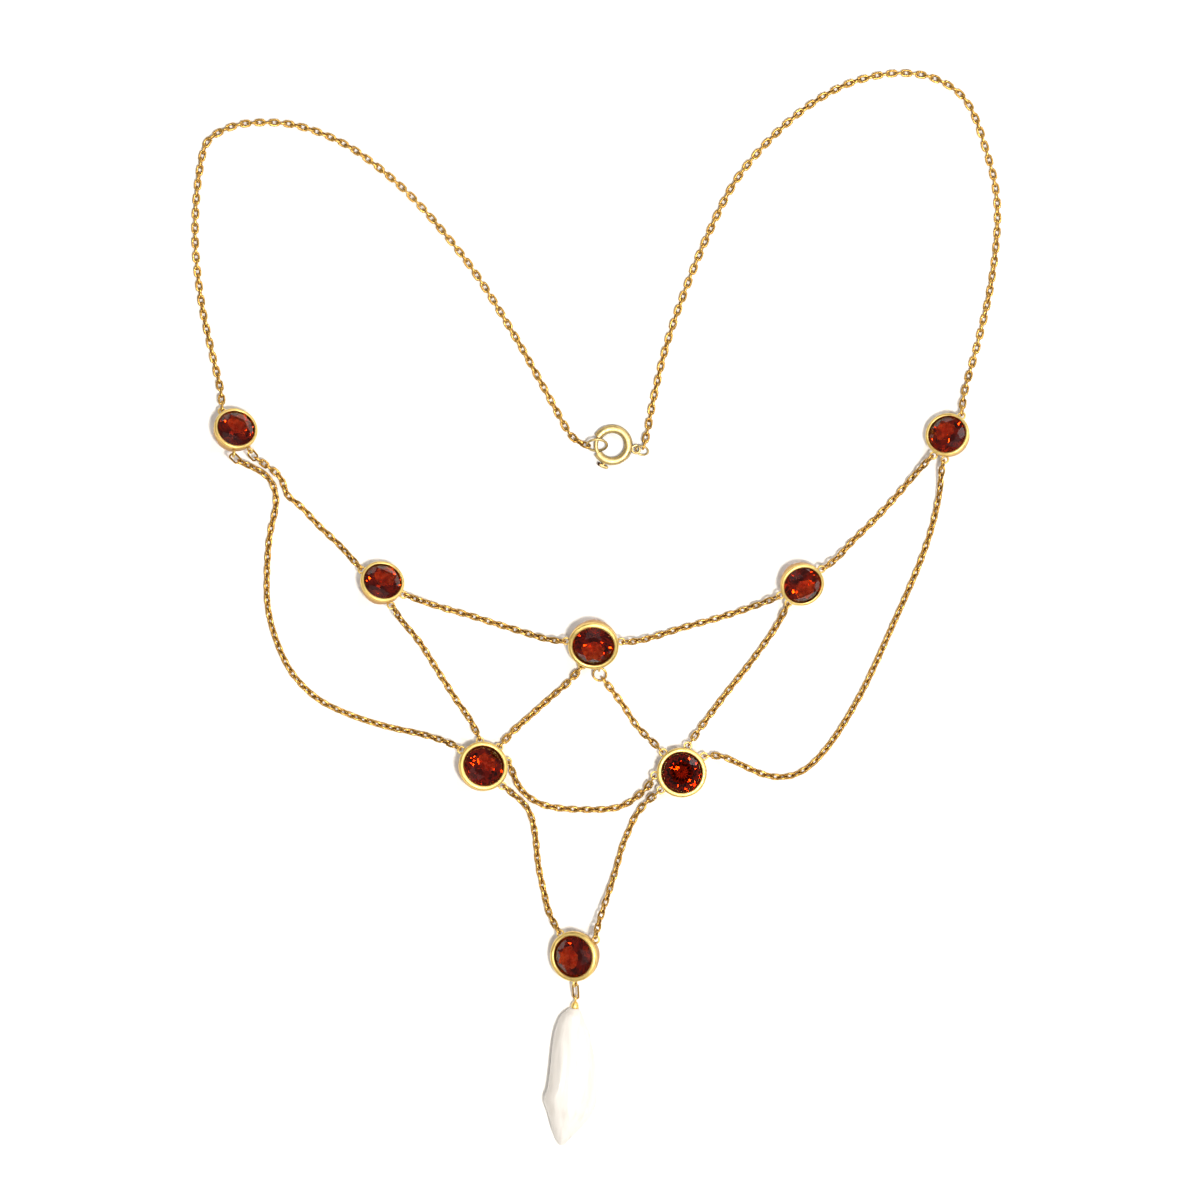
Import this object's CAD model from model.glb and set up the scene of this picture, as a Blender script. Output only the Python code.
"""Looks for the gold and citrine festoon necklace, built round the packed solids."""

import math
from collections import namedtuple

import bmesh
import bpy
from mathutils import Matrix, Vector, noise


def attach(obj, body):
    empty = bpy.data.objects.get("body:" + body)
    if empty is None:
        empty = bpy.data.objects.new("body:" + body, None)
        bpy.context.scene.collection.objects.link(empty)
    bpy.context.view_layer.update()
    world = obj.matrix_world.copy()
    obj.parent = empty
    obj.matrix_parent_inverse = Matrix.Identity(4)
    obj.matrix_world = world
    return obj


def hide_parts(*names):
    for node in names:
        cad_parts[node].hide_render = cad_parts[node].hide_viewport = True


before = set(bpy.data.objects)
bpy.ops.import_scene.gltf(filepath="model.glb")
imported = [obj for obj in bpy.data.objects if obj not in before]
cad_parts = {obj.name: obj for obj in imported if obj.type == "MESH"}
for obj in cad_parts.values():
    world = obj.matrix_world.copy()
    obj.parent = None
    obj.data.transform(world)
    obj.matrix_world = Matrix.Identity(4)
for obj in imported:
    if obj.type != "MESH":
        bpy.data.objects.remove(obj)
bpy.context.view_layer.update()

bl_info = {
    "name": "Citrine festoon necklace",
    "version": (1, 0, 0),
    "blender": (4, 5, 0),
    "location": "View3D > Sidebar > Necklace",
    "description": "Stones, settings, true chain links, clasp and pearl of one necklace",
    "category": "Object",
}

MM = 0.001
ROOT_BODY = "necklace"
BOLT_BODY = "bolt"

# The eight settings
# Columns: name, x and y of the stone's middle in mm, stone width, wall, lean, way the stone faces
SETTINGS = (
    ("outer_left", -57.5, 28.7, 6.1, 0.3, 29, 58),
    ("inner_left", -34.1, 4.3, 6.1, 0.3, 28, 65),
    ("centre", -0.4, -5.8, 6.6, 0.55, 25, 265),
    ("inner_right", 32.9, 3.9, 6.1, 0.3, 26, 300),
    ("outer_right", 56.1, 27.8, 6.1, 0.3, 22, 132),
    ("lower_left", -18.0, -25.1, 6.5, 0.55, 18, 48),
    ("lower_right", 13.7, -26.1, 6.5, 0.55, 0, 0),
    ("pendant", -3.5, -55.4, 6.6, 0.55, 24, 190),
)

# The soldered eyes of each setting
# Columns: what hangs there, turn round the setting, True if the eye stands upright
SOLDERED = {
    "outer_left": (("neck", 119, False), ("swag", 266, True), ("side", 308, True)),
    "inner_left": (("side", 142, False), ("front", 335, False), ("drop", 292, False)),
    "centre": (
        ("left", 176, False), ("right", 4, False), ("drop_left", 245, False),
        ("drop_right", 280, True),
    ),
    "inner_right": (("front", 212, False), ("drop", 242, False), ("side", 33, False)),
    "outer_right": (("neck", 59, False), ("side", 232, False), ("swag", 262, False)),
    "lower_left": (
        ("swag", 140, False), ("outer", 93, False), ("inner", 50, False), ("bridge", 15, False),
        ("pendant", 318, False),
    ),
    "lower_right": (
        ("inner", 133, False), ("outer", 77, False), ("swag", 36, False), ("bridge", 186, False),
        ("pendant", 220, False),
    ),
    "pendant": (("left", 128, False), ("right", 38, False), ("pearl", 266, True)),
}
EYES = [
    (f"{setting}_{what}", setting, *place)
    for setting, eyes in SOLDERED.items() for what, *place in eyes
]

# The round jump rings at the clasp
# Columns: name, middle in mm, radius, roll about X, turn about Z, wire radius
CLASP_RINGS = (
    ("clasp_jump_ring_left", (0.15, 26.2, 1.6), 1.6, 57, 0, 0.2),
    ("clasp_jump_ring_right", (7.37, 25.33, 0.93), 1.0, 49, -12, 0.16),
)

# The jump rings that hang on an eye
# Columns: name, eye, point that the ring leads to in mm, hole length, hole width, wire radius
EYE_RINGS = (
    ("jump_ring_swag", "outer_left_swag", (-56.2, 23.2, 3.1), 1.9, 0.85, 0.16),
    ("jump_ring_side", "outer_left_side", (-53.2, 23.0, 1.0), 1.9, 0.85, 0.16),
    ("jump_ring_centre", "centre_drop_right", (0.9, -13.2, 0.6), 1.75, 1.75, 0.17),
    ("pearl_jump_ring", "pendant_pearl", (-3.24, -62.23, 1.5), 2.5, 0.6, 0.16),
)

# Routes of the chains, as x and y in mm
NECK_LEFT = (
    (-60, 35), (-61.4, 41), (-63, 48.5), (-64, 57), (-64, 64), (-63.4, 70), (-62.4, 74.3),
    (-60.5, 76.1), (-57.3, 77.4), (-53.3, 77.8), (-48.8, 77.5), (-43.5, 75.9), (-38, 73),
    (-31, 67.4), (-25, 61), (-19, 53.3), (-13, 43.7), (-7.5, 33.9), (-4.7, 28.8), (-3.2, 27),
)
NECK_RIGHT = (
    (8.2, 28.3), (9.3, 34), (11.3, 42.2), (14.3, 51), (18, 60), (22, 67.9), (27, 74.2),
    (33, 79.7), (39, 83.4), (44.5, 85.2), (49.5, 85.7), (54, 84.9), (58, 82.6), (60.4, 79.2),
    (62.4, 73.4), (63.9, 67.5), (64.2, 61), (63.2, 52), (61.2, 43), (59, 35),
)
SWAG_LEFT = (
    (-54, 22.2), (-52.2, 20.8), (-51.3, 18.8), (-51.2, 16.3), (-52.2, 11.5), (-52.6, 6),
    (-52.5, 0.5), (-51.2, -4.8), (-48.7, -10.1), (-44.6, -14.3), (-39.4, -16.9),
    (-33.5, -18.8), (-28, -20), (-24, -21.2),
)
SWAG_RIGHT = (
    (55.1, 21.4), (54.9, 18.5), (53.8, 13.3), (52, 7.9), (49.8, 2.6), (47.3, -3),
    (44.8, -8.6), (42.1, -14.1), (38.5, -20.1), (35.2, -24.2), (32.3, -26.3), (29.3, -26.9),
    (26.3, -26.3), (22.8, -24.7), (19.9, -23.5),
)
SIDE_LEFT = (
    (-51.9, 22.4), (-50.5, 21.1), (-49.9, 19.8), (-49.3, 18.1), (-47.2, 16.4), (-44.2, 13.2),
    (-41.1, 10.3), (-38.9, 7.9),
)
SIDE_RIGHT = ((38.6, 8.2), (41, 10.8), (44.5, 14.2), (48, 18), (51, 21.5))
FRONT_LEFT = ((-28.5, 1.5), (-25, 0.3), (-21, -0.8), (-16.5, -2.2), (-12, -3.6), (-8, -4.8))
FRONT_RIGHT = ((6.5, -5.15), (9.5, -4.4), (13.6, -3.1), (18, -1.9), (22, -0.7), (26, 0.7))
DROP_OUTER_LEFT = ((-31.3, -1.5), (-28.2, -5.3), (-25.1, -10.2), (-22.3, -14.6), (-20, -17.9))
DROP_INNER_LEFT = ((-4.1, -11.4), (-7.4, -14.3), (-10.3, -16.9), (-13.2, -19.5))
DROP_INNER_RIGHT = ((2.8, -13.3), (4.5, -15.6), (6.5, -18.7), (8.7, -20.9))
DROP_OUTER_RIGHT = ((29.4, -1.8), (27.9, -4.2), (24.4, -9), (20.9, -13.4), (17.6, -17.8))
BRIDGE = (
    (-13.3, -26.1), (-12.6, -27.9), (-11.4, -29.5), (-9.8, -30.7), (-7.9, -31.5), (-4.6, -32),
    (0.3, -32.1), (3.3, -31.8), (5.2, -31), (6.8, -29.8), (8.4, -28.3),
)
PENDANT_LEFT = (
    (-13.2, -29.6), (-11.7, -30.9), (-10.5, -32.7), (-9.9, -35), (-9.6, -37), (-9.2, -41),
    (-8.2, -45.7), (-7.4, -48.8),
)
PENDANT_RIGHT = (
    (9.3, -29.8), (7.6, -31.4), (6.2, -33.3), (5.2, -35.6), (4.2, -38), (2.8, -43),
    (1.1, -48), (0.3, -50.6),
)

# How a chain lies: roll of its first lying link, slow wander of the roll, height of its middle
LEANING = (30, 0, 0.57)
CORNERWISE = (45, 9, 0.52)
FLAT_AND_UPRIGHT = (6, 14, 0.6)

# The chains
# Columns: name, what holds the first link, what holds the last link, route, how it lies
CHAINS = (
    ("neck_chain_left", "outer_left_neck", "clasp_jump_ring_left", NECK_LEFT, FLAT_AND_UPRIGHT),
    ("neck_chain_right", "clasp_jump_ring_right", "outer_right_neck", NECK_RIGHT, FLAT_AND_UPRIGHT),
    ("swag_left", "jump_ring_swag", "lower_left_swag", SWAG_LEFT, CORNERWISE),
    ("swag_right", "outer_right_swag", "lower_right_swag", SWAG_RIGHT, CORNERWISE),
    ("side_chain_left", "jump_ring_side", "inner_left_side", SIDE_LEFT, LEANING),
    ("side_chain_right", "inner_right_side", "outer_right_side", SIDE_RIGHT, LEANING),
    ("front_chain_left", "inner_left_front", "centre_left", FRONT_LEFT, LEANING),
    ("front_chain_right", "centre_right", "inner_right_front", FRONT_RIGHT, LEANING),
    ("drop_chain_outer_left", "inner_left_drop", "lower_left_outer", DROP_OUTER_LEFT, LEANING),
    ("drop_chain_inner_left", "centre_drop_left", "lower_left_inner", DROP_INNER_LEFT, LEANING),
    ("drop_chain_inner_right", "jump_ring_centre", "lower_right_inner", DROP_INNER_RIGHT, LEANING),
    ("drop_chain_outer_right", "inner_right_drop", "lower_right_outer", DROP_OUTER_RIGHT, LEANING),
    ("bridge_chain", "lower_left_bridge", "lower_right_bridge", BRIDGE, LEANING),
    ("pendant_chain_left", "lower_left_pendant", "pendant_left", PENDANT_LEFT, LEANING),
    ("pendant_chain_right", "lower_right_pendant", "pendant_right", PENDANT_RIGHT, LEANING),
)

# Sizes of a link in mm: length and width of its hole, radius of its wire, step to the next
LINK_HOLE, LINK_GAP, LINK_WIRE, LINK_PITCH = 1.32, 0.62, 0.16, 1.18
# Radius of the wire drawn here: thicker towards the hole, as in the photo, and the same outside
DRAWN_WIRE = 0.19
# Space in mm between a link and the wire that it hangs on
LINK_CLEAR = 0.12
# Links over which the roll at an end fades, and links to each radian of the wander's wave
ROLL_LINKS, WANDER_LINKS = 5, 7.0
# Steps of a curve between two points of a route
LINE_STEPS = 8
# Most that a link turns loosely about its own axes, in radians
LOOSENESS = (0.05, 0.03, 0.03)

# Sizes of a setting in mm, as in the solids
RIM_COVER, WALL_TAPER, BACK_RIM = 0.15, 1.0, 0.45
SHOULDER, SHOULDER_IN = 1.25, 0.2
EYE_R, EYE_WIRE, EYE_DROP, SOLDER = 0.55, 0.16, 0.9, 0.12
STONE_GAP, GIRDLE_SHARE, PAVILION_SHARE = 0.04, 0.03, 0.45
RIM_RISE, SEAT_IN, SEAT_SLOPE = 0.85, 0.35, 1.1

# Rounded top of the rim, from the wall to the stone
# Columns: distance from the stone, height above the edge, both as shares of the rim's width
RIM = (
    (1.0, 0.0), (0.985, 0.1), (0.94, 0.2), (0.86, 0.29), (0.75, 0.37), (0.6, 0.43), (0.45, 0.46),
    (0.3, 0.46), (0.16, 0.42), (0.06, 0.35), (0.0, 0.22), (0.0, 0.0),
)
# Recess value of the rim beside the stone, and how fast it fades over the rim's width
RIM_RECESS, RIM_FADE = 0.4, 1.6
# Unevenness of the hand-pressed rim: how often it comes, and its height in mm
RIM_WAVES = ((2.2, 0.03), (7, 0.012))
# The circle of noise that the rim follows, the next setting's distance from it, share sideways
WAVE_CIRCLE, WAVE_APART, WAVE_SIDEWAYS = 1.6, 7.3, 0.5

# Points round a setting, and points and wire sides of a soldered eye and of a jump ring
WALL_TURNS, EYE_MESH, RING_MESH = 96, (28, 10), (40, 12)
# Greatest recess value of a ring's wire, on its side towards the hole
HOLE_RECESS = 0.7
# Upward part of the normal below which worn gold is brown, and how fast the brown deepens
STEEP_FROM, STEEP_RATE = 0.65, 2.2
# The solids' own shapes: distance in mm within which points join, angle of a sharp edge
WELD, SHARP_ANGLE = 0.0005, 32.0

# The golds
# Columns: name, property with its colour, the same for its recesses, share of the roughness,
# size of its patches, of its scratches and of its bumps in mm
GOLDS = (
    # soft and broad pale shine, amber on its sides and beside a stone
    ("polished_yellow_gold", "bright", "amber", 1.0, 2.5, 0.3, 0.006),
    # duller, pale on top where hands rub it and brown on its steep sides
    ("worn_yellow_gold", "worn", "tarnish", 1.0, 1.2, 0.3, 0.008),
    # warmer and glossier outside, tarnished brown inside the links
    ("drawn_gold_wire", "wire", "wire_recess", 0.65, 1.6, 0.2, 0.004),
)

# The lamps, each where no facet of a stone mirrors it into the camera
# Columns: name, place in metres, width in metres, property that holds its power, colour
LAMPS = (
    ("key_light", (0.185, -0.167, 1.174), 0.14, "key_power", "#FFFAF2"),
    ("fill_light", (0.5, 0.45, 0.5), 0.5, "fill_power", "#FFFFFF"),
    ("spot_right", (0.70, 0.07, 0.65), 0.04, "spot_power", "#FFFAF2"),
    ("spot_far", (0.10, 0.61, 0.74), 0.04, "spot_power", "#FFFAF2"),
    ("spot_left", (-0.51, -0.17, 0.80), 0.04, "spot_power", "#FFFAF2"),
    ("spot_near", (0.09, -0.55, 0.78), 0.04, "spot_power", "#FFFAF2"),
)
# The soft panel overhead and its hole for the camera, by the height of the way to them: where
# each begins and is full, and the share of light left in the hole
PANEL_FADE, HOLE_FADE, HOLE_LIGHT = (0.84, 0.92), (0.978, 0.993), 0.03
ROOM_COLOUR = (1, 0.99, 0.975, 1)
# Half width of the floor card in metres, and how far it lies below the necklace, in mm
CARD_HALF, CARD_SINK = 1.5, 0.02
# The camera's sensor width in mm, and the distances in metres between which it sees
SENSOR_MM, CLIP = 36, (0.05, 10)

# Sections of the pearl, from its drilled end to its tip
# Columns: share of the length, width to the left, width to the right, thickness, lift
PEARL_SECTIONS = (
    (0.00, 0.9, 0.9, 1.6, 0.7), (0.06, 2.1, 1.6, 2.8, 0.5), (0.17, 2.8, 2.8, 3.8, 0.2),
    (0.32, 3.0, 3.8, 4.5, 0.05), (0.46, 3.0, 4.6, 4.8, 0.01), (0.59, 3.1, 5.0, 4.7, 0.01),
    (0.68, 3.5, 4.8, 4.4, 0.02), (0.77, 2.7, 4.2, 3.8, 0.05), (0.87, 1.9, 2.6, 2.9, 0.2),
    (0.95, 1.1, 1.2, 1.8, 0.5), (1.00, 0.4, 0.4, 0.7, 0.9),
)
PEARL_PLACE, PEARL_TURN, PEARL_LENGTH = (-3.4, -63.9), 264.5, 21.9
PEARL_STEPS, PEARL_SIDES = 10, 56
# Its ridges: how often they come along, across and up, and their height as a share
PEARL_RIDGES, RIDGE_HEIGHT = (2.5, 3.2, 2.2), 0.16
# Least height of its skin above the surface, in mm
PEARL_CLEAR = 0.012
# The shade of its left side: place across where it begins, from -1 to 1, and how fast it deepens
PEARL_SHADES = ((0.15, 0.28), (-0.6, 0.6))

# The photo's frame: its middle in mm, and its width
PHOTO_MIDDLE, PHOTO_WIDTH = (0.64, 1.44), 192.0

Held = namedtuple("Held", "middle normal radius wire")


def srgb(code):
    """Linear colour of an sRGB hex code."""
    parts = [int(code[i : i + 2], 16) / 255 for i in (1, 3, 5)]
    return tuple(c / 12.92 if c <= 0.04045 else ((c + 0.055) / 1.055) ** 2.4 for c in parts)


# Placing


def polar(radius, angle, z=0.0):
    a = math.radians(angle)
    return Vector((radius * math.cos(a), radius * math.sin(a), z))


def row(table, name):
    return next((r for r in table if r[0] == name), None)


class Setting:
    """Sizes and place of one setting, in mm."""

    def __init__(self, name):
        _, self.x, self.y, width, wall, lean_degrees, facing = row(SETTINGS, name)
        self.stone_r = width / 2 + RIM_COVER
        self.girdle = self.stone_r * GIRDLE_SHARE
        self.wall_r = self.stone_r + STONE_GAP + wall
        self.back_r = self.wall_r - WALL_TAPER
        self.back_z = -self.girdle - 2 * PAVILION_SHARE * self.stone_r - 2 * STONE_GAP
        lean = math.radians(lean_degrees)
        self.rest_z = -self.back_z * math.cos(lean) + self.back_r * math.sin(lean)
        self.turn = Matrix.Rotation(lean, 3, polar(1, facing + 90))

    def placed(self, point):
        return Vector((self.x, self.y, self.rest_z)) + self.turn @ Vector(point)

    @property
    def eye_out(self):
        """Distance of an eye's middle from the stone's."""
        return self.wall_r - SHOULDER_IN * EYE_DROP / SHOULDER + EYE_R + EYE_WIRE / 2 - SOLDER


def held_point(held, way, beyond):
    """Point of a link that hangs on held, at the distance beyond from the end of its hole."""
    flat = way - held.normal * way.dot(held.normal)
    grip = held.middle + held.radius * flat.normalized()
    return grip + way * (beyond - held.wire - LINK_CLEAR)


def eye_ring_way(ring):
    """Way in which a jump ring hangs from its eye."""
    _, eye, leads_to, *_ = ring
    return (Vector(leads_to) - anchor(eye).middle).normalized()


def anchor(name):
    """Wire that a link can hold."""
    eye, ring, round_ring = row(EYES, name), row(EYE_RINGS, name), row(CLASP_RINGS, name)
    if eye:
        _, setting, angle, upright = eye
        s = Setting(setting)
        normal = polar(1, angle + 90) if upright else Vector((0, 0, 1))
        return Held(s.placed(polar(s.eye_out, angle, -EYE_DROP)), s.turn @ normal, EYE_R, EYE_WIRE)
    if ring:
        _, eye_name, _, hole, gap, wire = ring
        held, way = anchor(eye_name), eye_ring_way(ring)
        middle = held_point(held, way, hole / 2) + way * (hole - gap) / 2
        return Held(middle, held.normal.cross(way).normalized(), gap / 2 + wire, wire)
    _, middle, radius, roll, turn, wire = round_ring
    tilt = Matrix.Rotation(math.radians(turn), 3, "Z") @ Matrix.Rotation(math.radians(roll), 3, "X")
    return Held(Vector(middle), tilt @ Vector((0, 0, 1)), radius, wire)


# Lines and links of the chains

# In mm: least height of an end over the chain, and the length over which that height falls, for
# each mm of it and at least
LEAST_RISE, FALL_RATE, FALL_LEAST = 0.06, 2.2, 4.0


def rise_of(z, rest):
    """Height of a chain's end over where the chain lies."""
    return max(LEAST_RISE, z - rest)


def fall_length(rise):
    return FALL_RATE * rise + FALL_LEAST


def fall(rise, s):
    return rise * max(0.0, 1 - s / fall_length(rise)) ** 2


def leaving(held, towards, rest):
    """Way in which a chain leaves what holds it."""
    flat = Vector((towards[0] - held.middle.x, towards[1] - held.middle.y, 0)).normalized()
    rise = rise_of(held.middle.z, rest)
    return Vector((flat.x, flat.y, -2 * rise / fall_length(rise))).normalized()


def smooth(points, steps):
    """Catmull-Rom curve through points."""
    n, out = len(points) - 1, []
    for i in range(n):
        a, b, c, d = (points[k] for k in (max(0, i - 1), i, i + 1, min(n, i + 2)))
        for k in range(steps):
            t = k / steps
            out.append(
                0.5 * (2 * b + (c - a) * t + (2 * a - 5 * b + 4 * c - d) * t * t
                       + (3 * b - a - 3 * c + d) * t * t * t)
            )
    return [*out, points[-1]]


def lengths(points):
    out = [0.0]
    for a, b in zip(points, points[1:]):
        out.append(out[-1] + (b - a).length)
    return out


def chain_line(first, last, route, rest, beyond):
    """The chain's middle line, as points in mm, from one holder to the other."""
    start = held_point(first, leaving(first, route[0], rest), beyond)
    end = held_point(last, leaving(last, route[-1], rest), beyond)
    flat = smooth([start.to_2d(), *map(Vector, route), end.to_2d()], LINE_STEPS)
    s = lengths(flat)
    rises = rise_of(start.z, rest), rise_of(end.z, rest)
    return [
        Vector((p.x, p.y, rest + fall(rises[0], d) + fall(rises[1], s[-1] - d)))
        for p, d in zip(flat, s)
    ]


def along_line(line, s, wanted):
    i = 0
    for d in wanted:
        while i < len(s) - 2 and s[i + 1] < d:
            i += 1
        yield line[i].lerp(line[i + 1], (d - s[i]) / (s[i + 1] - s[i]))


def side_of(way):
    """Level direction to the left of way."""
    return Vector((-way.y, way.x, 0)).normalized()


def roll_to(way, line):
    """Roll about way, in degrees, that turns a link's hole to line."""
    side = side_of(way)
    return math.degrees(math.atan2(-line.dot(side), line.dot(way.cross(side))))


def wrap(angle):
    """The same roll between -90 and 90 degrees, since a link looks alike turned over."""
    return angle - 180 * round(angle / 180)


def chain_links(chain):
    """(middle, way, normal) of each link, in mm."""
    _, first_name, last_name, route, (lying_roll, wander, rest) = chain
    a, b = anchor(first_name), anchor(last_name)
    line = chain_line(a, b, route, rest, (LINK_HOLE - LINK_PITCH) / 2)
    s = lengths(line)
    leave, arrive = (line[1] - line[0]).normalized(), (line[-1] - line[-2]).normalized()
    grip_a, grip_b = a.normal.cross(leave), b.normal.cross(arrive)
    lying = lying_roll + 90 * round((roll_to(leave, grip_a) - lying_roll) / 90)
    least = math.ceil(s[-1] / LINK_PITCH) - 1
    off = abs(wrap(roll_to(arrive, grip_b) - lying - 90 * least))
    last = least + 1 if off > 45 else least
    joints = list(along_line(line, s, [s[-1] * i / (last + 1) for i in range(last + 2)]))
    ways = [(q - p).normalized() for p, q in zip(joints, joints[1:])]
    twist_a = wrap(roll_to(ways[0], a.normal.cross(ways[0])) - lying)
    twist_b = wrap(roll_to(ways[-1], b.normal.cross(ways[-1])) - lying - 90 * last)
    mid_r = LINK_GAP / 2 + LINK_WIRE
    for i, way in enumerate(ways):
        ends = max(0.0, 1 - i / ROLL_LINKS), max(0.0, 1 - (last - i) / ROLL_LINKS)
        roll = lying + 90 * i + twist_a * ends[0] + twist_b * ends[1]
        roll += wander * (1 - max(ends)) * math.sin(i / WANDER_LINKS)
        side = side_of(way)
        turn = math.radians(roll)
        normal = way.cross(side) * math.cos(turn) - side * math.sin(turn)
        flatness = (1 - way.z**2) * math.cos(turn) ** 2
        half = LINK_WIRE + abs(way.z) * (LINK_HOLE - LINK_GAP) / 2 + mid_r * math.sqrt(1 - flatness)
        middle = (joints[i] + joints[i + 1]) / 2
        middle.z = max(middle.z, half)
        yield middle, way, normal


# Meshes


def add_object(name, data):
    """An object at the origin, in the scene."""
    made = bpy.data.objects.new(name, data)
    bpy.context.scene.collection.objects.link(made)
    return made


def new_piece(name, mesh, material, body, replaces):
    """A finished piece: it has its material and slot, rides on a body and stands for its nodes."""
    piece = add_object(name, mesh)
    mesh.materials.clear()
    mesh.materials.append(material)
    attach(piece, body)
    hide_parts(*replaces)


def mesh_of(name, bm):
    mesh = bpy.data.meshes.new(name)
    bm.to_mesh(mesh)
    bm.free()
    return mesh


def add_rings(bm, rings, recess, closed):
    """Skins rings of points with quads. closed joins the last ring to the first."""
    layer = bm.verts.layers.float.get("recess") or bm.verts.layers.float.new("recess")
    made = [[bm.verts.new(p) for p in ring] for ring in rings]
    for verts, depths in zip(made, recess):
        for v, depth in zip(verts, depths):
            v[layer] = depth
    for a, b in [*zip(made, made[1:]), *([(made[-1], made[0])] if closed else [])]:
        for k in range(len(a)):
            n = (k + 1) % len(a)
            bm.faces.new((a[k], a[n], b[n], b[k])).smooth = True
    return made


def wire_loop(bm, middle, way, normal, hole, gap, wire, turns, sides):
    """A closed loop of round wire, round or oval, its hole facing along normal."""
    across = normal.cross(way).normalized()
    mid_r, straight = gap / 2 + wire, (hole - gap) / 2
    rings, recess = [], []
    for i in range(turns):
        a = 2 * math.pi * i / turns
        out = way * math.cos(a) + across * math.sin(a)
        ahead = round(math.cos(a), 6)
        end = (ahead > 0) - (ahead < 0)
        centre = middle + out * mid_r + way * (straight * end)
        angles = [2 * math.pi * k / sides for k in range(sides)]
        rings.append(
            [(centre + (out * math.cos(t) + normal * math.sin(t)) * wire) * MM for t in angles]
        )
        recess.append([max(0.0, -math.cos(t)) * HOLE_RECESS for t in angles])
    add_rings(bm, rings, recess, True)


def face_outwards(bm):
    bmesh.ops.recalc_face_normals(bm, faces=bm.faces)


def tarnish_steep(mesh):
    """Deepens the recess value where the surface is steep."""
    bm = bmesh.new()
    bm.from_mesh(mesh)
    layer = bm.verts.layers.float["recess"]
    bm.normal_update()
    for v in bm.verts:
        v[layer] = max(0.0, min(1.0, (STEEP_FROM - v.normal.z) * STEEP_RATE))
    bm.to_mesh(mesh)
    bm.free()


def smooth_copy(node):
    """The node's own shape with its loose triangles joined and its curved faces smooth."""
    bm = bmesh.new()
    bm.from_mesh(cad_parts[node].data)
    bmesh.ops.remove_doubles(bm, verts=bm.verts, dist=WELD * MM)
    for face in bm.faces:
        face.smooth = True
    for edge in bm.edges:
        if len(edge.link_faces) == 2:
            edge.smooth = edge.calc_face_angle(0.0) < math.radians(SHARP_ANGLE)
    bm.verts.layers.float.new("recess")
    return mesh_of(f"{node}_smooth", bm)


# Nodes


def set_inputs(tree, node, inputs):
    """Links each input that is given a socket, or a node for its first output; sets the others."""
    for key, value in inputs.items():
        if isinstance(value, bpy.types.Node):
            value = value.outputs[0]
        if isinstance(value, bpy.types.NodeSocket):
            tree.links.new(value, node.inputs[key])
        else:
            node.inputs[key].default_value = value


def add_node(tree, kind, inputs=None, **settings):
    """Adds a node with its settings and inputs, which go by name or number.

    A Map Range has 0 the value, 1 and 2 where it comes from, 3 and 4 where it goes. A Mix of
    colours has 0 the share, 6 and 7 the colours.
    """
    node = tree.nodes.new(kind)
    for key, value in settings.items():
        setattr(node, key, value)
    set_inputs(tree, node, inputs or {})
    return node


def new_material(name):
    """(material, its tree, its Principled shader)."""
    material = bpy.data.materials.new(name)
    material.use_nodes = True
    tree = material.node_tree
    tree.nodes.clear()
    shader = add_node(tree, "ShaderNodeBsdfPrincipled")
    add_node(tree, "ShaderNodeOutputMaterial", {"Surface": shader})
    return material, tree, shader


def patches(tree, place, size_mm, detail, seen, given, distortion=0.0):
    """(noise of a real size, value that goes through given while the noise goes through seen)"""
    speckle = add_node(
        tree, "ShaderNodeTexNoise",
        {"Vector": place, "Scale": 1 / (size_mm * MM), "Detail": detail, "Distortion": distortion},
    )
    span = {0: speckle, 1: seen[0], 2: seen[1], 3: given[0], 4: given[1]}
    return speckle, add_node(tree, "ShaderNodeMapRange", span)


def gold(name):
    """A gold of the table: even colour, deeper in its recesses, with wear that breaks its gloss."""
    if name in bpy.data.materials:
        return bpy.data.materials[name]
    _, colour, deep, share, mottle_mm, scratch_mm, bump_mm = row(GOLDS, name)
    look = bpy.context.scene.necklace_gold
    colour, deep, roughness = getattr(look, colour), getattr(look, deep), look.gloss * share
    material, tree, shader = new_material(name)
    place = add_node(tree, "ShaderNodeTexCoord").outputs["Object"]
    recess = add_node(tree, "ShaderNodeAttribute", attribute_name="recess").outputs["Fac"]
    # patches that take up to a third of the deeper tone, and scratches, drawn coarse enough to show
    _, mottle = patches(tree, place, mottle_mm, 3.0, (0.35, 0.75), (0.0, 0.35))
    scratch, rough = patches(
        tree, place, scratch_mm, 5.0, (0.3, 0.75), (roughness * 0.7, roughness * 1.5)
    )
    deeper = add_node(
        tree, "ShaderNodeMath", {0: recess, 1: mottle}, operation="MAXIMUM", use_clamp=True
    )
    tone = add_node(
        tree, "ShaderNodeMix", {0: deeper, 6: (*colour, 1), 7: (*deep, 1)}, data_type="RGBA"
    )
    bump = add_node(
        tree, "ShaderNodeBump", {"Height": scratch, "Distance": bump_mm * MM, "Strength": 0.6}
    )
    set_inputs(tree, shader, {
        "Base Color": tone.outputs[2], "Roughness": rough, "Normal": bump, "Metallic": 1.0,
    })
    return material


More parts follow.
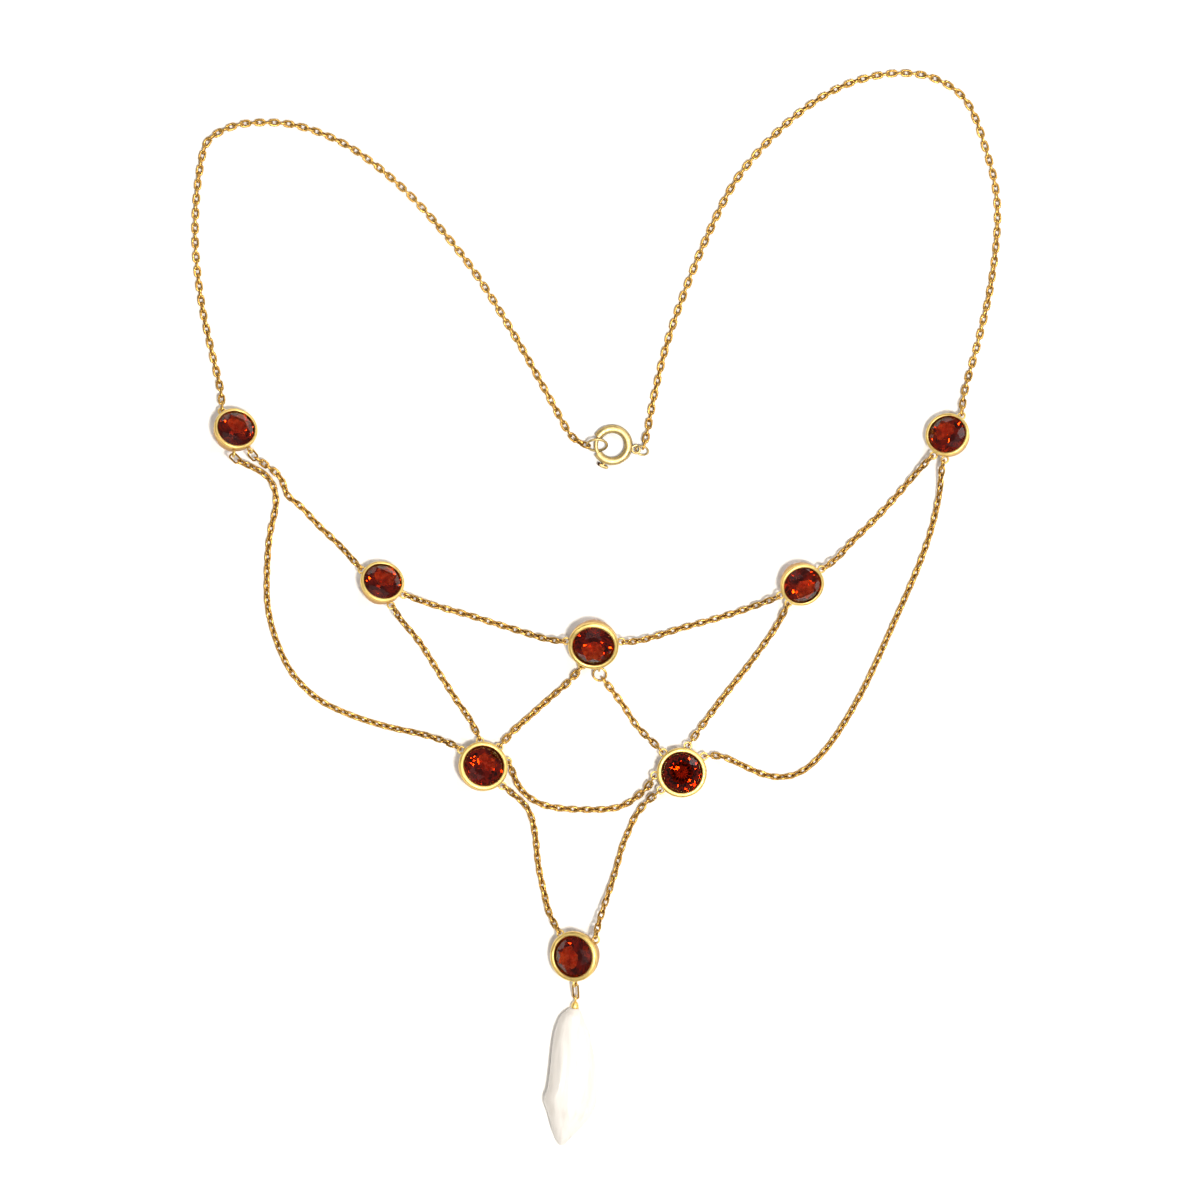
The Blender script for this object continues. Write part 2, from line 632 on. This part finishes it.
def citrine_finish(name, colour, zone, depth_colour, depth_per_m, roughness, zone_mm, haze_mm):
    """Cut and polished quartz: coloured by the way that light goes through it, with darker zones
    that break up what its facets throw back."""
    material, tree, shader = new_material(name)
    place = add_node(tree, "ShaderNodeTexCoord").outputs["Object"]
    _, zones = patches(tree, place, zone_mm, 2.0, (0.4, 0.62), (0.0, 1.0))
    _, rough = patches(tree, place, haze_mm, 4.0, (0.45, 0.75), (roughness, roughness * 4))
    tone = add_node(
        tree, "ShaderNodeMix", {0: zones, 6: (*colour, 1), 7: (*zone, 1)}, data_type="RGBA"
    )
    set_inputs(tree, shader, {
        "Base Color": tone.outputs[2], "Roughness": rough, "IOR": 1.55, "Transmission Weight": 1.0,
    })
    absorb = add_node(
        tree, "ShaderNodeVolumeAbsorption", {"Color": (*depth_colour, 1), "Density": depth_per_m}
    )
    output = next(n for n in tree.nodes if n.type == "OUTPUT_MATERIAL")
    set_inputs(tree, output, {"Volume": absorb})
    return material


def pearl_finish(name, colour, streak, shade, streak_mm, streak_length):
    """Freshwater pearl: soft white nacre with lengthwise streaks and a satin lustre."""
    material, tree, shader = new_material(name)
    place = add_node(tree, "ShaderNodeTexCoord").outputs["Object"]
    recess = add_node(tree, "ShaderNodeAttribute", attribute_name="recess").outputs["Fac"]
    turned = add_node(
        tree, "ShaderNodeMapping",
        {
            "Vector": place, "Rotation": (0, 0, math.radians(PEARL_TURN)),
            "Scale": (streak_length, 1, 1),
        },
        vector_type="TEXTURE",
    )
    streaks, share = patches(tree, turned, streak_mm, 4.0, (0.45, 0.72), (0.0, 0.8), 0.4)
    tone = add_node(
        tree, "ShaderNodeMix", {0: share, 6: (*colour, 1), 7: (*streak, 1)}, data_type="RGBA"
    )
    edge = add_node(
        tree, "ShaderNodeMix", {0: recess, 6: tone.outputs[2], 7: (*shade, 1)}, data_type="RGBA"
    )
    bump = add_node(
        tree, "ShaderNodeBump", {"Height": streaks, "Distance": 0.05 * MM, "Strength": 0.5}
    )
    set_inputs(tree, shader, {
        "Base Color": edge.outputs[2], "Normal": bump, "Roughness": 0.34, "IOR": 1.53,
        "Coat Weight": 0.5, "Coat Roughness": 0.12, "Sheen Weight": 0.15, "Sheen Roughness": 0.4,
    })
    return material


def card_finish(name, colour):
    """Plain matt card under the necklace."""
    material, tree, shader = new_material(name)
    set_inputs(
        tree, shader, {"Base Color": (*colour, 1), "Roughness": 0.9, "Specular IOR Level": 0.1}
    )
    return material


def link_tree():
    """Geometry Nodes that set a true wire link on each point, turned by its way and face."""
    tree = bpy.data.node_groups.new("necklace_links", "GeometryNodeTree")
    for name, kind in (
        ("Geometry", "Geometry"), ("Bend Radius", "Float"), ("Straight Half", "Float"),
        ("Wire Radius", "Float"), ("Bend Points", "Int"), ("Wire Sides", "Int"), ("Seed", "Int"),
        ("Material", "Material"),
    ):
        tree.interface.new_socket(name, in_out="INPUT", socket_type=f"NodeSocket{kind}")
    tree.interface.new_socket("Geometry", in_out="OUTPUT", socket_type="NodeSocketGeometry")
    given = add_node(tree, "NodeGroupInput").outputs
    bend_r, half, wire_r = given["Bend Radius"], given["Straight Half"], given["Wire Radius"]
    bend = add_node(
        tree, "GeometryNodeCurvePrimitiveCircle",
        {"Resolution": given["Bend Points"], "Radius": bend_r}, mode="RADIUS",
    )
    position = add_node(tree, "GeometryNodeInputPosition")
    axes = add_node(tree, "ShaderNodeSeparateXYZ", {0: position}).outputs
    share = add_node(tree, "ShaderNodeMath", {0: axes[0], 1: bend_r}, operation="DIVIDE")
    # the two points at the middle of the round stay there, halfway along the straights
    side = add_node(tree, "ShaderNodeMapRange", {0: share, 1: -0.001, 2: 0.001, 3: -1.0, 4: 1.0})
    shift = add_node(tree, "ShaderNodeMath", {0: side, 1: half}, operation="MULTIPLY")
    offset = add_node(tree, "ShaderNodeCombineXYZ", {0: shift})
    oval = add_node(tree, "GeometryNodeSetPosition", {"Geometry": bend, "Offset": offset})
    section = add_node(
        tree, "GeometryNodeCurvePrimitiveCircle",
        {"Resolution": given["Wire Sides"], "Radius": wire_r}, mode="RADIUS",
    )
    wire = add_node(tree, "GeometryNodeCurveToMesh", {"Curve": oval, "Profile Curve": section})
    # how far a point of the wire lies towards the hole
    back = add_node(tree, "ShaderNodeMath", {0: half, 1: -1.0}, operation="MULTIPLY")
    held = add_node(tree, "ShaderNodeClamp", {"Value": axes[0], "Min": back, "Max": half})
    core = add_node(tree, "ShaderNodeCombineXYZ", {0: held})
    flat = add_node(tree, "ShaderNodeCombineXYZ", {0: axes[0], 1: axes[1]})
    out = add_node(tree, "ShaderNodeVectorMath", {0: flat, 1: core}, operation="DISTANCE")
    low = add_node(tree, "ShaderNodeMath", {0: bend_r, 1: wire_r}, operation="SUBTRACT")
    towards_hole = add_node(
        tree, "ShaderNodeMapRange", {0: out.outputs["Value"], 1: low, 2: bend_r, 3: 1.0, 4: 0.0}
    )
    marked = add_node(
        tree, "GeometryNodeStoreNamedAttribute",
        {"Geometry": wire, "Name": "recess", "Value": towards_hole},
        data_type="FLOAT", domain="POINT",
    )
    rounded_wire = add_node(tree, "GeometryNodeSetShadeSmooth", {0: marked})
    # the points' own ways and faces
    along, facing = (
        add_node(tree, "GeometryNodeInputNamedAttribute", {"Name": key}, data_type="FLOAT_VECTOR")
        for key in ("way", "facing")
    )
    pointed = add_node(
        tree, "FunctionNodeAlignRotationToVector", {"Vector": along}, axis="X", pivot_axis="AUTO"
    )
    turned = add_node(
        tree, "FunctionNodeAlignRotationToVector", {"Rotation": pointed, "Vector": facing},
        axis="Z", pivot_axis="X",
    )
    loose = add_node(
        tree, "FunctionNodeRandomValue",
        {0: tuple(-turn for turn in LOOSENESS), 1: LOOSENESS, "Seed": given["Seed"]},
        data_type="FLOAT_VECTOR",
    )
    nudged = add_node(
        tree, "FunctionNodeRotateRotation", {"Rotation": turned, "Rotate By": loose},
        rotation_space="LOCAL",
    )
    placed = add_node(
        tree, "GeometryNodeInstanceOnPoints",
        {"Points": given["Geometry"], "Instance": rounded_wire, "Rotation": nudged},
    )
    real = add_node(tree, "GeometryNodeRealizeInstances", {0: placed})
    dressed = add_node(
        tree, "GeometryNodeSetMaterial", {"Geometry": real, "Material": given["Material"]}
    )
    add_node(tree, "NodeGroupOutput", {0: dressed})
    return tree


def links_mesh(name, links, tree, values):
    """Plain mesh of the links, made by the tree on one point for each."""
    mesh = bpy.data.meshes.new(f"{name}_points")
    mesh.from_pydata([tuple(m * MM) for m, _, _ in links], [], [])
    for key, column in (("way", 1), ("facing", 2)):
        layer = mesh.attributes.new(key, "FLOAT_VECTOR", "POINT")
        layer.data.foreach_set("vector", [c for link in links for c in link[column]])
    carrier = add_object(f"{name}_points", mesh)
    modifier = carrier.modifiers.new("links", "NODES")
    modifier.node_group = tree
    sockets = {
        item.name: item.identifier
        for item in tree.interface.items_tree
        if item.item_type == "SOCKET" and item.in_out == "INPUT"
    }
    for key, value in values.items():
        modifier[sockets[key]] = value
    bpy.context.view_layer.update()
    graph = bpy.context.evaluated_depsgraph_get()
    made = bpy.data.meshes.new_from_object(
        carrier.evaluated_get(graph), preserve_all_data_layers=True, depsgraph=graph
    )
    made.name = name
    carrier.modifiers.remove(modifier)
    bpy.data.objects.remove(carrier)
    bpy.data.meshes.remove(mesh)
    return made


# What a user would change

RGB = {"size": 3, "min": 0, "max": 1}


class NecklaceGold(bpy.types.PropertyGroup):
    """Colours and gloss of the gold."""

    bright: bpy.props.FloatVectorProperty(
        name="Bright gold", description="Polished gold of the settings and of the pearl's cap",
        subtype="COLOR", **RGB, default=srgb("#FDE08C"),
    )
    amber: bpy.props.FloatVectorProperty(
        name="Amber recess", description="Deeper tone of that gold on its sides and beside a stone",
        subtype="COLOR", **RGB, default=srgb("#A06C2C"),
    )
    wire: bpy.props.FloatVectorProperty(
        name="Chain gold", description="Warmer gold of the wire of the chains and small rings",
        subtype="COLOR", **RGB, default=srgb("#D9AB58"),
    )
    worn: bpy.props.FloatVectorProperty(
        name="Worn gold", description="Duller gold of the clasp and its jump rings",
        subtype="COLOR", **RGB, default=srgb("#ECD292"),
    )
    tarnish: bpy.props.FloatVectorProperty(
        name="Tarnish", description="Brown of the clasp's steep sides",
        subtype="COLOR", **RGB, default=srgb("#4E3626"),
    )
    wire_recess: bpy.props.FloatVectorProperty(
        name="Chain recess", description="Tarnish inside the links",
        subtype="COLOR", **RGB, default=srgb("#62380F"),
    )
    gloss: bpy.props.FloatProperty(
        name="Roughness", description="Roughness of the gold; the wire takes two thirds of it",
        subtype="FACTOR", min=0.02, max=0.6, default=0.46,
    )


class NecklaceStone(bpy.types.PropertyGroup):
    """Colours of the citrines and of the pearl."""

    surface: bpy.props.FloatVectorProperty(
        name="Citrine", description="Tint that each face of a citrine gives to light",
        subtype="COLOR", **RGB, default=srgb("#FFD0A8"),
    )
    zone: bpy.props.FloatVectorProperty(
        name="Citrine zones", description="Darker tint in the colour zones of a citrine",
        subtype="COLOR", **RGB, default=srgb("#C08058"),
    )
    depth: bpy.props.FloatVectorProperty(
        name="Citrine depth", description="Colour of the light that has gone through a citrine",
        subtype="COLOR", **RGB, default=srgb("#F5D67C"),
    )
    density: bpy.props.FloatProperty(
        name="Depth density", description="How soon that colour deepens, for each metre",
        min=0, max=3000, default=1420,
    )
    pearl: bpy.props.FloatVectorProperty(
        name="Pearl", description="White of the pearl",
        subtype="COLOR", **RGB, default=srgb("#E8E5E1"),
    )
    streak: bpy.props.FloatVectorProperty(
        name="Pearl streaks", description="Warm grey of the pearl's streaks",
        subtype="COLOR", **RGB, default=srgb("#D3CFC9"),
    )
    shade: bpy.props.FloatVectorProperty(
        name="Pearl shade", description="Grey of the pearl's shaded left side",
        subtype="COLOR", **RGB, default=srgb("#B6AEA7"),
    )


class NecklaceChain(bpy.types.PropertyGroup):
    """Sizes and fineness of the links."""

    wire_radius: bpy.props.FloatProperty(
        name="Wire radius", description="Radius of the wire of a link",
        subtype="DISTANCE", unit="LENGTH", min=0.00005, max=0.0004, default=DRAWN_WIRE * MM,
    )
    bend_points: bpy.props.IntProperty(
        name="Bend points", description="Points round one link", min=8, max=48, default=12,
    )
    wire_sides: bpy.props.IntProperty(
        name="Wire sides", description="Sides of the wire of a link", min=4, max=16, default=6,
    )
    seed: bpy.props.IntProperty(
        name="Seed", description="Fixed seed of the small looseness of the links", min=0, default=5,
    )


class NecklaceStage(bpy.types.PropertyGroup):
    """Camera, lights and floor."""

    floor: bpy.props.FloatVectorProperty(
        name="Floor", description="Colour of the card under the necklace",
        subtype="COLOR", **RGB, default=srgb("#F7F6F4"),
    )
    camera_height: bpy.props.FloatProperty(
        name="Camera height", description="Height of the camera above the floor",
        subtype="DISTANCE", unit="LENGTH", min=0.3, max=5, default=1.4,
    )
    key_power: bpy.props.FloatProperty(
        name="Key light", description="Power of the main soft light",
        unit="POWER", min=0, default=12.0,
    )
    spot_power: bpy.props.FloatProperty(
        name="Small lamps", description="Power of each small lamp that makes the stones flash",
        unit="POWER", min=0, default=1.2,
    )
    fill_power: bpy.props.FloatProperty(
        name="Fill light", description="Power of the weaker soft light",
        unit="POWER", min=0, default=1.2,
    )
    walls: bpy.props.FloatProperty(
        name="Room light", description="Brightness of the dim room", min=0, max=5, default=0.14,
    )
    panel: bpy.props.FloatProperty(
        name="Panel light", description="Brightness of the round soft panel overhead",
        min=0, max=10, default=0.5,
    )


GROUPS = {
    "necklace_gold": NecklaceGold,
    "necklace_stone": NecklaceStone,
    "necklace_chain": NecklaceChain,
    "necklace_stage": NecklaceStage,
}


class NECKLACE_OT_stones(bpy.types.Operator):
    """Gives the faceted citrines their clear orange-red quartz"""

    bl_idname = "necklace.stones"
    bl_label = "Citrines"

    def execute(self, context):
        stone = context.scene.necklace_stone
        citrine = citrine_finish(
            "polished_citrine", stone.surface, stone.zone, stone.depth, stone.density,
            roughness=0.004, zone_mm=0.8, haze_mm=0.9,
        )
        for name, *_ in SETTINGS:
            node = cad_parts[f"stone_{name}"]
            node.data.materials.clear()
            node.data.materials.append(citrine)
        return {"FINISHED"}


class NECKLACE_OT_settings(bpy.types.Operator):
    """Makes the rubbed-over settings with their soldered eyes"""

    bl_idname = "necklace.settings"
    bl_label = "Settings"

    def wall(self, bm, s, seed):
        """The turned wall, with a rim pressed over by hand and so a little uneven."""
        edge_r = s.stone_r - RIM_COVER
        rim_w = s.wall_r - edge_r
        rim_z = s.girdle + RIM_COVER * RIM_RISE + STONE_GAP
        shoulder_r = s.wall_r - SHOULDER_IN
        seat_z = -s.girdle - STONE_GAP - SEAT_IN * SEAT_SLOPE
        # Columns: distance out, height, share of the rim's unevenness, depth of the recess
        profile = [
            (s.back_r - BACK_RIM, s.back_z, 0, 0.6), (s.back_r - 0.05, s.back_z, 0, 0.9),
            (s.back_r + 0.02, s.back_z + 0.06, 0, 0.9),
            (shoulder_r - 0.06, -SHOULDER - 0.12, 0, 0.9),
            (shoulder_r + 0.015, -SHOULDER + 0.1, 0.1, 0.9), (s.wall_r, -s.girdle, 0.5, 0.7),
        ]
        profile += [
            (edge_r + out * rim_w, rim_z + up * rim_w, 1, max(0.0, RIM_RECESS - out * RIM_FADE))
            for out, up in RIM
        ]
        profile += [
            (s.stone_r + STONE_GAP, s.girdle + STONE_GAP, 0, 0.2),
            (s.stone_r + STONE_GAP, -s.girdle - STONE_GAP, 0, 0.1),
            (s.stone_r - SEAT_IN, seat_z, 0, 0), (shoulder_r - BACK_RIM, -SHOULDER, 0, 0),
        ]
        rings = []
        for i in range(WALL_TURNS):
            angle = 360 * i / WALL_TURNS
            spot = polar(WAVE_CIRCLE, angle, seed * WAVE_APART)
            uneven = sum(noise.noise(spot * often) * height for often, height in RIM_WAVES)
            rings.append([
                s.placed(polar(r + uneven * share * WAVE_SIDEWAYS, angle, z + uneven * share)) * MM
                for r, z, share, _ in profile
            ])
        add_rings(bm, rings, [[p[3] for p in profile]] * WALL_TURNS, True)

    def execute(self, context):
        for seed, (name, *_) in enumerate(SETTINGS):
            s = Setting(name)
            bm = bmesh.new()
            self.wall(bm, s, seed + 1)
            hole = 2 * (EYE_R - EYE_WIRE)
            for eye, setting, angle, _ in EYES:
                if setting == name:
                    held = anchor(eye)
                    out = (s.turn @ polar(1, angle)).normalized()
                    wire_loop(bm, held.middle, out, held.normal, hole, hole, EYE_WIRE, *EYE_MESH)
            face_outwards(bm)
            new_piece(
                f"collet_{name}", mesh_of(f"collet_{name}", bm), gold("polished_yellow_gold"),
                ROOT_BODY, [f"setting_{name}"],
            )
        return {"FINISHED"}


class NECKLACE_OT_chains(bpy.types.Operator):
    """Makes every chain as true wire links, each hanging in the next"""

    bl_idname = "necklace.chains"
    bl_label = "Chains"

    def execute(self, context):
        size = context.scene.necklace_chain
        tree = link_tree()
        for number, chain in enumerate(CHAINS):
            name = chain[0]
            values = {
                "Bend Radius": (LINK_GAP / 2 + 2 * LINK_WIRE) * MM - size.wire_radius,
                "Straight Half": (LINK_HOLE - LINK_GAP) / 2 * MM,
                "Wire Radius": size.wire_radius,
                "Bend Points": size.bend_points,
                "Wire Sides": size.wire_sides,
                "Seed": size.seed + number,
                "Material": gold("drawn_gold_wire"),
            }
            mesh = links_mesh(f"links_{name}", list(chain_links(chain)), tree, values)
            new_piece(
                f"links_{name}", mesh, gold("drawn_gold_wire"), ROOT_BODY, [name]
            )
        return {"FINISHED"}


class NECKLACE_OT_rings(bpy.types.Operator):
    """Makes the jump rings of the clasp, the centre stone, the left stone and the pearl"""

    bl_idname = "necklace.rings"
    bl_label = "Jump rings"

    def ring_mesh(self, name, *sizes):
        bm = bmesh.new()
        wire_loop(bm, *sizes, *RING_MESH)
        face_outwards(bm)
        return mesh_of(name, bm)

    def execute(self, context):
        for name, _, radius, _, _, wire in CLASP_RINGS:
            held, hole = anchor(name), 2 * (radius - wire)
            way = held.normal.orthogonal().normalized()
            mesh = self.ring_mesh(name, held.middle, way, held.normal, hole, hole, wire)
            tarnish_steep(mesh)
            new_piece(
                f"wire_{name}", mesh, gold("worn_yellow_gold"), ROOT_BODY, [name]
            )
        for ring in EYE_RINGS:
            name, eye, _, hole, gap, wire = ring
            held, way = anchor(eye), eye_ring_way(ring)
            middle, normal = held_point(held, way, hole / 2), held.normal.cross(way).normalized()
            mesh = self.ring_mesh(name, middle, way, normal, hole, gap, wire)
            new_piece(
                f"wire_{name}", mesh, gold("drawn_gold_wire"), ROOT_BODY, [name]
            )
        return {"FINISHED"}


class NECKLACE_OT_clasp(bpy.types.Operator):
    """Makes the bolt ring, its bolt and the pearl's peg from the solids, with smooth faces"""

    bl_idname = "necklace.clasp"
    bl_label = "Clasp and peg"

    def execute(self, context):
        for node, name, body in (
            ("clasp_ring", "bolt_ring_case", ROOT_BODY),
            ("clasp_bolt", "bolt_ring_bolt", BOLT_BODY),
        ):
            mesh = smooth_copy(node)
            tarnish_steep(mesh)
            new_piece(name, mesh, gold("worn_yellow_gold"), body, [node])
        new_piece(
            "pearl_cap_and_eye", smooth_copy("pearl_peg"), gold("polished_yellow_gold"),
            ROOT_BODY, ["pearl_peg"],
        )
        return {"FINISHED"}


class NECKLACE_OT_pearl(bpy.types.Operator):
    """Makes the long freshwater pearl"""

    bl_idname = "necklace.pearl"
    bl_label = "Pearl drop"

    def execute(self, context):
        sections = smooth([Vector(q) for q in PEARL_SECTIONS], PEARL_STEPS)
        turn = Matrix.Rotation(math.radians(PEARL_TURN), 3, "Z")
        place = Vector((*PEARL_PLACE, 0))
        rings, recess = [], []
        for share, left, right, thick, lift in sections:
            ring, depth = [], []
            for k in range(PEARL_SIDES):
                a = 2 * math.pi * k / PEARL_SIDES
                across, up = math.cos(a), math.sin(a)
                wide = right if across > 0 else left
                spot = Vector([q * often for q, often in zip((share, across, up), PEARL_RIDGES)])
                # the ridges fade towards both ends
                swell = 1 + noise.noise(spot) * RIDGE_HEIGHT * min(1, 4 * share, 4 * (1 - share))
                y = across * wide * min(1.0, swell)
                z = max(PEARL_CLEAR, lift + thick / 2 + up * thick / 2 * min(1.0, swell))
                ring.append((place + turn @ Vector((share * PEARL_LENGTH, y, z))) * MM)
                depth.append(sum(max(0.0, edge - across) * rate for edge, rate in PEARL_SHADES))
            rings.append(ring)
            recess.append(depth)
        bm = bmesh.new()
        made = add_rings(bm, rings, recess, False)
        for end in (made[0], made[-1]):
            bm.faces.new(end).smooth = True
        face_outwards(bm)
        stone = context.scene.necklace_stone
        nacre = pearl_finish(
            "freshwater_pearl", stone.pearl, stone.streak, stone.shade,
            streak_mm=1.1, streak_length=9,
        )
        new_piece("long_pearl", mesh_of("long_pearl", bm), nacre, ROOT_BODY, ["pearl"])
        return {"FINISHED"}


class NECKLACE_OT_stage(bpy.types.Operator):
    """Lays the card, hangs the lights and sets the camera straight above"""

    bl_idname = "necklace.stage"
    bl_label = "Stage"

    def lamp(self, name, place, size, power, colour, target):
        data = bpy.data.lights.new(name, "AREA")
        data.shape, data.size, data.energy, data.color = "DISK", size, power, colour
        lamp = add_object(name, data)
        lamp.location = place
        lamp.rotation_euler = (target - Vector(place)).to_track_quat("-Z", "Y").to_euler()

    def room(self, stage):
        """A dim room with a round soft panel overhead and a dark hole in it for the camera."""
        world = bpy.data.worlds.new("white_room")
        world.use_nodes = True
        tree = world.node_tree
        tree.nodes.clear()
        way = add_node(tree, "ShaderNodeTexCoord").outputs["Generated"]
        height = add_node(tree, "ShaderNodeSeparateXYZ", {0: way}).outputs["Z"]
        panel = add_node(
            tree, "ShaderNodeMapRange",
            {0: height, 1: PANEL_FADE[0], 2: PANEL_FADE[1], 3: stage.walls, 4: stage.panel},
            interpolation_type="SMOOTHSTEP",
        )
        hole = add_node(
            tree, "ShaderNodeMapRange",
            {0: height, 1: HOLE_FADE[0], 2: HOLE_FADE[1], 3: 1.0, 4: HOLE_LIGHT},
            interpolation_type="SMOOTHSTEP",
        )
        glow = add_node(tree, "ShaderNodeMath", {0: panel, 1: hole}, operation="MULTIPLY")
        light = add_node(tree, "ShaderNodeBackground", {"Color": ROOM_COLOUR, "Strength": glow})
        add_node(tree, "ShaderNodeOutputWorld", {0: light})
        return world

    def execute(self, context):
        scene, stage = context.scene, context.scene.necklace_stage
        middle = Vector((PHOTO_MIDDLE[0] * MM, PHOTO_MIDDLE[1] * MM, 0))
        data = bpy.data.cameras.new("camera")
        data.sensor_width = SENSOR_MM
        data.lens = data.sensor_width * stage.camera_height / (PHOTO_WIDTH * MM)
        data.clip_start, data.clip_end = CLIP
        scene.camera = add_object("camera", data)
        scene.camera.location = middle + Vector((0, 0, stage.camera_height))

        bm = bmesh.new()
        bmesh.ops.create_grid(bm, x_segments=1, y_segments=1, size=CARD_HALF)
        bmesh.ops.translate(bm, verts=bm.verts, vec=(0, 0, -CARD_SINK * MM))
        floor = add_object("floor_card", mesh_of("floor_card", bm))
        floor.data.materials.append(card_finish("matt_white_card", stage.floor))

        for name, place, size, power, colour in LAMPS:
            self.lamp(name, place, size, getattr(stage, power), srgb(colour), middle)

        scene.world = self.room(stage)
        scene.view_settings.view_transform = "Standard"
        return {"FINISHED"}


STEPS = (
    NECKLACE_OT_stage, NECKLACE_OT_stones, NECKLACE_OT_settings, NECKLACE_OT_chains,
    NECKLACE_OT_rings, NECKLACE_OT_clasp, NECKLACE_OT_pearl,
)


class NECKLACE_PT_pieces(bpy.types.Panel):
    """Lists the pieces and their sizes"""

    bl_label = "Citrine necklace"
    bl_idname = "NECKLACE_PT_pieces"
    bl_space_type = "VIEW_3D"
    bl_region_type = "UI"
    bl_category = "Necklace"

    def draw(self, context):
        for group, kind in GROUPS.items():
            box = self.layout.box()
            box.label(text=kind.__doc__)
            for key in kind.__annotations__:
                box.prop(getattr(context.scene, group), key)
        for step in STEPS:
            self.layout.operator(step.bl_idname)


CLASSES = (*GROUPS.values(), *STEPS, NECKLACE_PT_pieces)


def register():
    for kind in CLASSES:
        bpy.utils.register_class(kind)
    for group, kind in GROUPS.items():
        setattr(bpy.types.Scene, group, bpy.props.PointerProperty(type=kind))


def unregister():
    for group in GROUPS:
        delattr(bpy.types.Scene, group)
    for kind in reversed(CLASSES):
        bpy.utils.unregister_class(kind)


def main():
    register()
    for step in STEPS:
        group, operator = step.bl_idname.split(".")
        getattr(getattr(bpy.ops, group), operator)()


if __name__ == "__main__":
    main()
